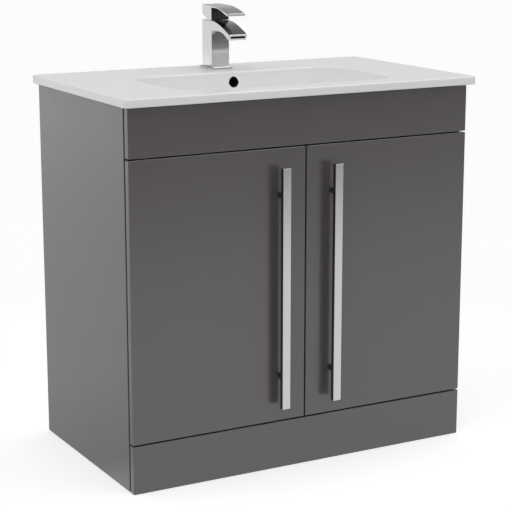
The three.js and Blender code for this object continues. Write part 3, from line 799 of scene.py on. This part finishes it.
def hinge_screws():
    """Two screws hold each hinge cup to its door and two hold each plate to its end panel."""
    steel = MATERIALS["hinge_steel"]
    for side, sign in SIDES:
        for height in HEIGHTS:
            hinge = f"{side}_{height}"
            cup_low, cup_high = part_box(f"{hinge}_hinge_cup")
            plate_low, plate_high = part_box(f"{hinge}_hinge_plate")
            inner = plate_high.x if sign > 0 else plate_low.x
            for end, share in (("a", 0.11), ("b", 0.89)):
                z = cup_low.z + (cup_high.z - cup_low.z) * share
                spot = Vector(((cup_low.x + cup_high.x) / 2, cup_high.y, z))
                head = screw_head(f"{hinge}_cup_screw_{end}", spot, ("y", 1), HINGE_HEAD, steel)
                place(head, f"{hinge}_hinge_cup", replaces=False)
                z = plate_low.z + (plate_high.z - plate_low.z) * share
                spot = Vector((inner - sign * 1 * MM, FACE_Y + 58 * MM, z))
                head = screw_head(f"{hinge}_plate_screw_{end}", spot, ("x", sign), HINGE_HEAD, steel)
                place(head, f"{hinge}_hinge_plate", replaces=False)


# ---------------------------------------------------------------- studio
# Each pair is a brightness as seen, and as it lights the unit's matt colours.
ROOM, ROOM_LIGHT = 0.96, 0.6
FLOOR, FLOOR_LIGHT = 0.86, 0.6
# The floor's own glow, as (distance from the unit's middle, brightness). It isn't cast on the unit.
FLOOR_GLOW = ((0.4, 0.45), (0.8, 0.31), (1.4, 0.24))
# The floor in reflections, as (distance, brightness). The distance runs back along y, and a little along x
# on the right.
FLOOR_SKEW = 0.2
FLOOR_TONES = (
    (-8.0, 0.07), (-7.2, 0.2), (-6.4, 0.32), (-5.3, 0.1), (-4.9, 0.06), (-4.34, 0.29), (-3.3, 0.42),
    (-2.6, 0.62), (-1.7, 0.9), (-0.8, 0.93), (-0.13, 0.93), (-0.02, 0.6), (0.15, 0.66), (0.6, 0.79),
    (1.7, 0.83), (3.2, 0.93), (5.2, 1.15), (6.0, 1.36), (7.9, 0.94),
)
# The room in reflections, as (height of the direction, brightness).
ROOM_TONES = ((0.0, 0.5), (0.3, 0.55), (0.55, 0.3), (0.8, 0.06), (1.0, 0.04))


def ramp(nodes, links, value, stops):
    """A grey scale read off at value. The stops are (value, brightness)."""
    start, end = stops[0][0], stops[-1][0]
    share = nodes.new("ShaderNodeMapRange")
    share.inputs["From Min"].default_value = start
    share.inputs["From Max"].default_value = end
    links.new(value, share.inputs["Value"])
    node = nodes.new("ShaderNodeValToRGB")
    links.new(share.outputs["Result"], node.inputs["Fac"])
    elements = node.color_ramp.elements
    for index, (stop, level) in enumerate(stops):
        spot = (stop - start) / (end - start)
        element = elements[index] if index < 2 else elements.new(spot)
        element.position = spot
        element.color = (*grey(level), 1)
    return node.outputs["Color"]


def for_rays(nodes, links, kind, usual, special):
    """The usual brightness, and a special one for rays of one kind. Each is a number or an output."""
    mix = nodes.new("ShaderNodeMix")
    mix.data_type = "RGBA"
    links.new(nodes.new("ShaderNodeLightPath").outputs[kind], mix.inputs["Factor"])
    colours = [socket for socket in mix.inputs if socket.type == "RGBA"]
    for socket, value in zip(colours, (usual, special)):
        if isinstance(value, float):
            socket.default_value = (*grey(value), 1)
        else:
            links.new(value, socket)
    return [socket for socket in mix.outputs if socket.type == "RGBA"][0]


def studio_tone(nodes, links, seen, cast, mirrored):
    """A brightness as it is seen, as it lights matt colours, and as it shows in reflections."""
    matt_rays = for_rays(nodes, links, "Is Diffuse Ray", seen, cast)
    return for_rays(nodes, links, "Is Glossy Ray", matt_rays, mirrored)


def floor():
    """A wide white floor with a soft glow round the unit."""
    size, front, thickness = 30.0, 14.0, 0.05
    outline = [(-size, -front), (size, -front), (size, size), (-size, size)]
    ground = prism("studio_floor", outline, -thickness, 0.0, "z")
    tree = Tree("studio_floor_paint", Roughness=0.9, Emission_Strength=1.0)
    nodes, links = tree.nodes, tree.links
    split = nodes.new("ShaderNodeSeparateXYZ")
    links.new(tree.place, split.inputs["Vector"])
    right = nodes.new("ShaderNodeMath")
    right.operation = "MAXIMUM"
    right.inputs[1].default_value = 0.0
    links.new(split.outputs["X"], right.inputs[0])
    along = nodes.new("ShaderNodeMath")
    along.operation = "MULTIPLY_ADD"
    along.inputs[1].default_value = FLOOR_SKEW
    links.new(right.outputs["Value"], along.inputs[0])
    links.new(split.outputs["Y"], along.inputs[2])
    around = nodes.new("ShaderNodeVectorMath")
    around.operation = "LENGTH"
    links.new(tree.place, around.inputs[0])
    glow = ramp(nodes, links, around.outputs["Value"], FLOOR_GLOW)
    mirrored = ramp(nodes, links, along.outputs["Value"], FLOOR_TONES)
    tree.colour(studio_tone(nodes, links, FLOOR, FLOOR_LIGHT, 0.0))
    links.new(studio_tone(nodes, links, glow, 0.0, mirrored), tree.shader.inputs["Emission Color"])
    ground.data.materials.append(tree.material)


def world():
    """An evenly lit white room, which is dark overhead in reflections."""
    room = bpy.data.worlds.new("studio")
    bpy.context.scene.world = room
    room.use_nodes = True
    nodes, links = room.node_tree.nodes, room.node_tree.links
    split = nodes.new("ShaderNodeSeparateXYZ")
    links.new(nodes.new("ShaderNodeTexCoord").outputs["Generated"], split.inputs["Vector"])
    mirrored = ramp(nodes, links, split.outputs["Z"], ROOM_TONES)
    links.new(studio_tone(nodes, links, ROOM, ROOM_LIGHT, mirrored), nodes["Background"].inputs["Color"])


def hang(name, light, spot, target):
    """Hangs a light, out of the camera's sight, and turns it to the target."""
    holder = bpy.data.objects.new(name, light)
    holder.location = spot
    holder.rotation_mode = "QUATERNION"
    holder.rotation_quaternion = (Vector(target) - Vector(spot)).to_track_quat("-Z", "Y")
    holder.visible_camera = False
    bpy.context.scene.collection.objects.link(holder)
    return holder


def lights():
    """A soft overhead lamp that reflections don't show, and a panel that only reflections show."""
    sun = bpy.data.lights.new("key", "SUN")
    sun.energy = 0.9
    sun.angle = math.radians(75)
    hang("key", sun, (-0.3, -0.4, 3.3), (0, 0, 0)).visible_glossy = False
    panel = bpy.data.lights.new("edge_light", "AREA")
    panel.size = 1.3
    panel.energy = 30
    hang("edge_light", panel, (1.3, -0.95, 3.1), (0, -0.2, 0.5)).visible_diffuse = False


def camera():
    """From the front left, a little above the basin."""
    data = bpy.data.cameras.new("camera")
    data.sensor_width = 36.0
    data.lens = 112.5
    data.dof.use_dof = False
    azimuth, pitch = math.radians(28.86), math.radians(12.86)
    level = Vector((math.sin(azimuth), math.cos(azimuth), 0)) * math.cos(pitch)
    forward = level - Vector((0, 0, math.sin(pitch)))
    holder = bpy.data.objects.new("camera", data)
    holder.location = at(-1657.7, -2793.8, 1195.4)
    holder.rotation_mode = "QUATERNION"
    holder.rotation_quaternion = forward.to_track_quat("-Z", "Y")
    bpy.context.scene.collection.objects.link(holder)
    bpy.context.scene.camera = holder


# ---------------------------------------------------------------- the whole scene
REPLACED = {"basin", "waste_body", "waste_plug", "tap_body", "tap_lever", "tap_base_plate"}
REPLACED_ENDINGS = ("_handle_post", "_handle_screw")

bpy.context.scene.view_settings.view_transform = "Standard"
camera()
floor()
world()
lights()
basin()
waste_fitting()
waste_plug()
tap_body()
tap_lever()
tap_foot()
handles()
hinge_screws()
for node_name in NODES:
    if node_name not in REPLACED and not node_name.endswith(REPLACED_ENDINGS):
        keep_node(node_name)
